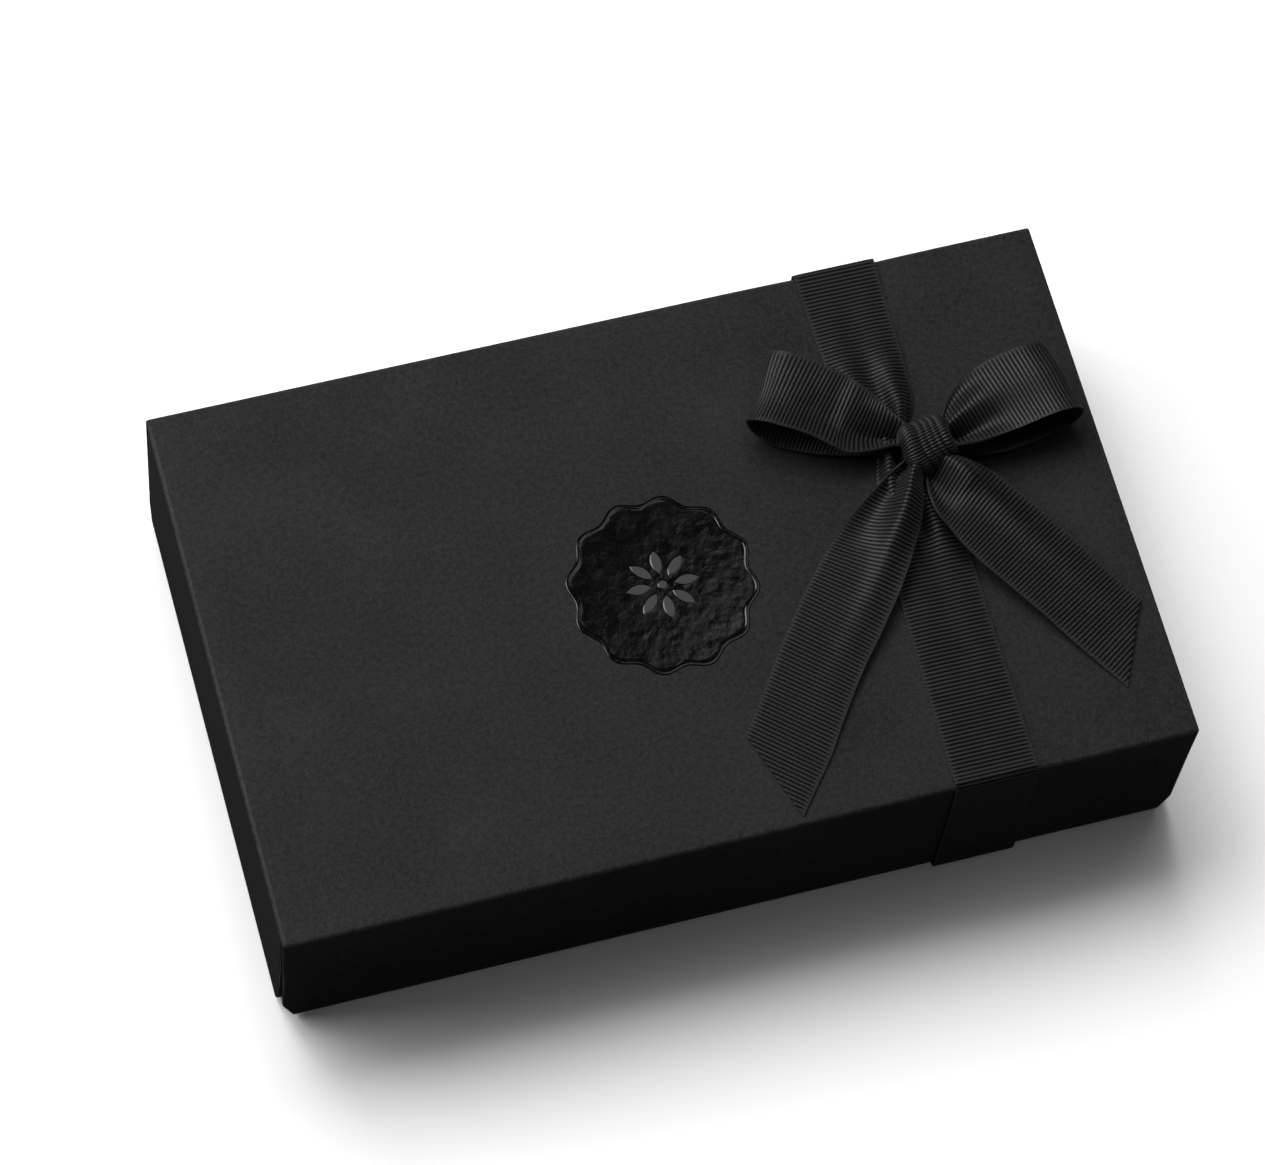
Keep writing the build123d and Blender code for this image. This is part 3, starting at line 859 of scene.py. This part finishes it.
# ---------------------------------------------------------------------- loops of the bow
# The same ribbon, drawn out of the knot into two hollow loops that lie over the
# lid. Near the knot the cloth is gathered into pleats.
# Each edge line runs from the knot over the top of the loop and back below.
loops = {
    "left": dict(
        pleats=0.75, phase=0.0, turn_over=True, ridges=[(0.68, -1.2, 0.2, 36.0)],
        far=[
            (81.5, 22.7, 7.6), (79.2, 27.1, 8.4), (76.3, 31.2, 9.4), (74.1, 34.9, 10.4),
            (71.7, 38.1, 11.8), (69.1, 40.9, 13.2), (66.7, 43.7, 13.6), (63.6, 46.1, 14.8),
            (60.6, 48.3, 15.9), (57.1, 50.6, 16.9), (53.8, 52.7, 17.5), (50.3, 54.4, 17.5),
            (47.9, 56.0, 16.0), (47.4, 58.6, 9.6), (49.2, 57.6, 3.8), (53.5, 54.4, 1.7),
            (61.5, 48.4, 1.6), (69.5, 39.5, 2.6), (75.0, 30.5, 4.0), (80.5, 24.0, 5.0),
        ],
        near=[
            (80.5, 18.6, 7.4), (76.7, 21.3, 8.2), (71.7, 21.0, 8.9), (66.8, 20.7, 9.8),
            (60.3, 21.1, 11.6), (56.8, 23.3, 13.2), (53.2, 26.3, 13.8), (49.4, 28.6, 15.0),
            (45.5, 30.6, 16.1), (41.9, 32.3, 16.9), (38.9, 34.0, 17.1), (36.1, 35.6, 16.4),
            (34.3, 37.1, 14.4), (34.1, 39.0, 9.6), (36.0, 37.4, 4.4), (40.4, 33.4, 2.2),
            (48.3, 29.0, 1.7), (57.0, 25.4, 2.2), (67.0, 22.2, 3.4), (79.5, 20.0, 5.0),
        ],
    ),
    "right": dict(
        pleats=1.5, phase=2.4, turn_over=False, ridges=[],
        far=[
            (89.1, 22.7, 8.2), (91.8, 26.6, 9.4), (94.9, 30.8, 10.8), (99.0, 34.4, 12.3),
            (104.0, 37.1, 13.7), (109.9, 38.8, 15.1), (116.1, 39.7, 16.3),
            (122.1, 40.2, 17.1), (126.7, 40.6, 15.8), (129.8, 41.5, 9.9),
            (128.2, 41.4, 3.6), (123.0, 40.2, 1.7), (114.0, 38.4, 1.5), (104.6, 35.0, 2.2),
            (97.0, 29.8, 3.6), (90.0, 23.4, 4.8),
        ],
        near=[
            (89.6, 17.7, 7.8), (94.0, 16.0, 9.2), (99.1, 15.0, 10.6), (104.4, 14.8, 12.1),
            (110.0, 15.1, 13.5), (115.8, 15.7, 14.9), (121.4, 16.3, 16.2),
            (127.1, 16.7, 17.1), (131.5, 17.1, 15.8), (134.5, 18.0, 9.9),
            (133.0, 18.0, 3.6), (128.0, 17.0, 1.8), (118.6, 15.2, 1.5), (109.0, 14.2, 2.0),
            (100.0, 14.8, 3.4), (90.4, 17.4, 4.8),
        ],
    ),
}


def above_lid(edge):
    """An edge line whose heights are given from the lid's top."""
    return [(x, y, z + lid_top) for x, y, z in edge]


for side, plan in loops.items():
    mesh, length = ribbon_piece(
        f"bow_{side}", above_lid(plan["far"]), above_lid(plan["near"]), plan["pleats"], plan["phase"],
        (20.0, 0.35), columns=32, turn_over=plan["turn_over"], ridges=plan["ridges"],
    )
    loop = show(f"bow_loop_{side}", mesh, grosgrain, "lid", "ribbon", f"bow_{side}_loop", soft_angle=70)

# ---------------------------------------------------------------------- tails of the bow
# The two free ends of the same ribbon. They leave the knot folded, cross the
# band, settle on the lid and end in a slanted cut.
# Each edge line runs from the knot to the cut end.
tails = {
    "left": dict(
        cut=15.5, phase=-4.52, ridge=(0.72, 2.6, 0.14, 46.0),
        left=[
            (81.0, 18.5, 6.5), (77.0, 16.0, 6.6), (72.5, 13.6, 6.4), (66.5, 9.6, 5.8),
            (60.5, 5.6, 5.0), (54.3, 0.9, 4.2), (46.2, -6.6, 3.5), (38.4, -15.2, 2.7),
            (27.9, -28.3, 1.6), (16.9, -43.6, 0.9), (12.2, -50.0, 0.7), (3.0, -61.5, 0.6),
        ],
        right=[
            (84.5, 16.0, 7.0), (82.6, 12.6, 7.6), (80.8, 8.0, 7.8), (79.0, 1.5, 7.7),
            (76.4, -4.8, 7.2), (72.8, -11.0, 6.4), (65.9, -21.6, 5.0), (57.6, -32.2, 3.4),
            (46.8, -45.0, 1.9), (36.0, -59.8, 1.0), (31.4, -66.6, 0.7), (22.2, -78.0, 0.6),
        ],
    ),
    "right": dict(
        cut=-15.5, phase=-4.27, ridge=(0.68, 2.2, 0.16, 40.0),
        left=[
            (83.8, 12.6, 7.0), (82.5, 7.4, 7.6), (82.2, 1.8, 8.0), (83.6, -5.5, 8.0),
            (86.2, -12.6, 7.2), (90.3, -19.9, 6.2), (96.3, -28.4, 4.8),
            (104.6, -40.2, 3.2), (111.5, -51.0, 1.8), (118.6, -61.6, 0.9),
        ],
        right=[
            (89.6, 16.1, 7.2), (92.7, 15.6, 6.8), (96.2, 14.1, 6.4), (101.5, 8.9, 5.8),
            (106.4, 2.4, 5.1), (112.2, -5.6, 4.3), (118.4, -14.8, 3.4),
            (126.2, -27.7, 2.2), (132.9, -38.3, 1.3), (139.4, -47.8, 0.8),
        ],
    ),
}
for side, plan in tails.items():
    mesh, length = ribbon_piece(
        f"tail_{side}", above_lid(plan["left"]), above_lid(plan["right"]), 1.0, plan["phase"],
        (34.0, 0.1), cut=plan["cut"], columns=28, turn_over=True, ridges=[plan["ridge"]],
    )
    tail = show(f"bow_tail_{side}", mesh, grosgrain, "lid", "ribbon", f"bow_{side}_tail", soft_angle=70)

# ---------------------------------------------------------------------- knot of the bow
# A short turn of the same ribbon, drawn tight round the middle of the bow, so
# that it lies in one broad fold and four narrower ones.
knot_low, knot_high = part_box("bow_knot")
knot_middle = np.array([85.4, 19.4, (knot_low.z + knot_high.z) / 2 / mm])
knot_radius, knot_reach, knot_length = 5.1, 7.6, 50.0
knot_ribs, knot_columns = 44, 96
knot_rows = knot_ribs * rows_per_rib + 1
around = np.linspace(0, 2 * pi, knot_rows)
over = np.linspace(-1, 1, knot_columns + 1)
# The folds across the knot: where each begins and ends, and how high it stands.
fold_edges = np.array([-1.0, -0.28, 0.02, 0.30, 0.56, 1.0])
fold_heights = np.array([2.7, 2.1, 1.9, 1.9, 2.5])
which = np.clip(np.searchsorted(fold_edges, over, side="right") - 1, 0, len(fold_heights) - 1)
fold_share = (over - fold_edges[which]) / (fold_edges[which + 1] - fold_edges[which])
bulge = fold_heights[which] * np.sqrt(np.clip(np.sin(pi * np.clip(fold_share, 0, 1)), 0, 1))
around, across = np.meshgrid(around, over, indexing="ij")
below = np.clip(-np.sin(around), 0, 1)
drum = knot_radius * np.sqrt(np.clip(1 - 0.55 * across**4, 0.02, 1))
radius = drum + bulge[None, :] * (0.75 + 0.25 * np.cos(around * 2 + across * 2))
reach = knot_reach * across * (1 - 0.22 * below) + 1.2 * below + 0.9 * np.sin(2 * around + 0.5)
knot_points = np.stack([reach, 1.12 * radius * np.cos(around), radius * np.sin(around)], -1)
spin = np.array(Matrix.Rotation(radians(15), 3, "Z") @ Matrix.Rotation(radians(-4), 3, "Y"))
points, faces = patch(knot_points @ spin.T + knot_middle)
knot_mesh = bpy.data.meshes.new("knot_flat")
knot_mesh.from_pydata([tuple(p * mm) for p in points], [], faces)
knot_mesh.update()
if knot_mesh.polygons[0].normal.dot(Vector((0, 1, 0))) < 0:
    knot_mesh.flip_normals()
cloth_across = np.tile(over * (ribbon_width / 2 - selvage - 0.1), knot_rows)
cloth_along = np.repeat(np.arange(knot_rows) * row_pitch, knot_columns + 1)
knot_mesh = woven(knot_mesh, cloth_across, cloth_along)
knot = show("bow_tie", knot_mesh, grosgrain, "lid", "ribbon", "bow_knot", soft_angle=70)

# ------------------------------------------------------------------------------- studio
# A pale floor, a broad soft key light high behind the box, weaker ones to its
# sides and front, and a long lens looking down over the left front corner.
floor_half = 6.0
floor_mesh = bpy.data.meshes.new("floor")
floor_corners = [(x * floor_half, y * floor_half, 0) for x, y in ((-1, -1), (1, -1), (1, 1), (-1, 1))]
floor_mesh.from_pydata(floor_corners, [], [(0, 1, 2, 3)])
floor = bpy.data.objects.new("floor", floor_mesh)
bpy.context.scene.collection.objects.link(floor)
floor_paint, floor_shader, floor_tree = finish("floor", 0.9, Specular_IOR_Level=0.0)
# It looks pale, but throws little light back at the box.
seen = place(floor_tree, "ShaderNodeLightPath").outputs["Is Camera Ray"]
floor_colour = blend_colours(floor_tree, seen, (0.05, 0.05, 0.05, 1), (0.8, 0.8, 0.8, 1))
feed(floor_tree, floor_shader.inputs["Base Color"], floor_colour)
floor_mesh.materials.append(floor_paint)

world = bpy.data.worlds.new("studio")
world.use_nodes = True
bpy.context.scene.world = world
air = world.node_tree
backdrop = air.nodes["Background"]
rays = place(air, "ShaderNodeLightPath").outputs
# White behind the floor, and almost black for what reaches the box.
fill = blend_colours(air, rays["Is Diffuse Ray"], (0.015, 0.015, 0.015, 1), (0.01, 0.01, 0.01, 1))
feed(air, backdrop.inputs["Color"], blend_colours(air, rays["Is Camera Ray"], fill, (1, 1, 1, 1)))


def softbox(name, direction, distance, width, height, power, glossy=True, shape="RECTANGLE"):
    """Area light that faces the box from a direction."""
    light = bpy.data.lights.new(name, "AREA")
    light.shape = shape
    light.size, light.size_y = width, height
    light.energy = power
    lamp = bpy.data.objects.new(name, light)
    bpy.context.scene.collection.objects.link(lamp)
    out = Vector(direction).normalized()
    lamp.location = out * distance
    lamp.rotation_mode = "QUATERNION"
    lamp.rotation_quaternion = out.to_track_quat("Z", "Y")
    lamp.visible_glossy = glossy
    return lamp


softbox("key", (-0.1, 0.65, 1.0), 2.2, 1.4, 1.4, 56.0, glossy=False)
softbox("back_left", (-0.44, 0.42, 0.8), 2.0, 1.0, 1.0, 13.0)
softbox("left", (-0.75, 0.35, 0.65), 1.5, 0.9, 0.9, 10.5)
softbox("back_right", (0.45, 0.6, 0.8), 2.0, 1.2, 1.2, 5.0, glossy=False)
softbox("front", (0.1, -1.0, 0.25), 1.8, 1.4, 0.6, 6.2, glossy=False)
# A small lamp that the rosette on the seal gives back toward the lens.
softbox("seal_sheen", (0.508, 0.162, 1.4), 1.5, 0.8, 0.8, 1.5, shape="DISK")

camera = bpy.data.cameras.new("camera")
camera.lens, camera.sensor_width = 141.38, 36.0
eye = bpy.data.objects.new("camera", camera)
bpy.context.scene.collection.objects.link(eye)
bpy.context.scene.camera = eye
swing, climb, roll = radians(24.149), radians(66.324), radians(9.514)
aim, reach = Vector((-11.596, -0.130, 63.0)) * mm, 1.48239
back = Vector((-sin(swing) * cos(climb), -cos(swing) * cos(climb), sin(climb)))
facing = back.to_track_quat("Z", "Y").to_matrix() @ Matrix.Rotation(roll, 3, "Z")
eye.location = aim + back * reach
eye.rotation_mode = "QUATERNION"
eye.rotation_quaternion = facing.to_quaternion()
bpy.context.scene.view_settings.view_transform = "Standard"
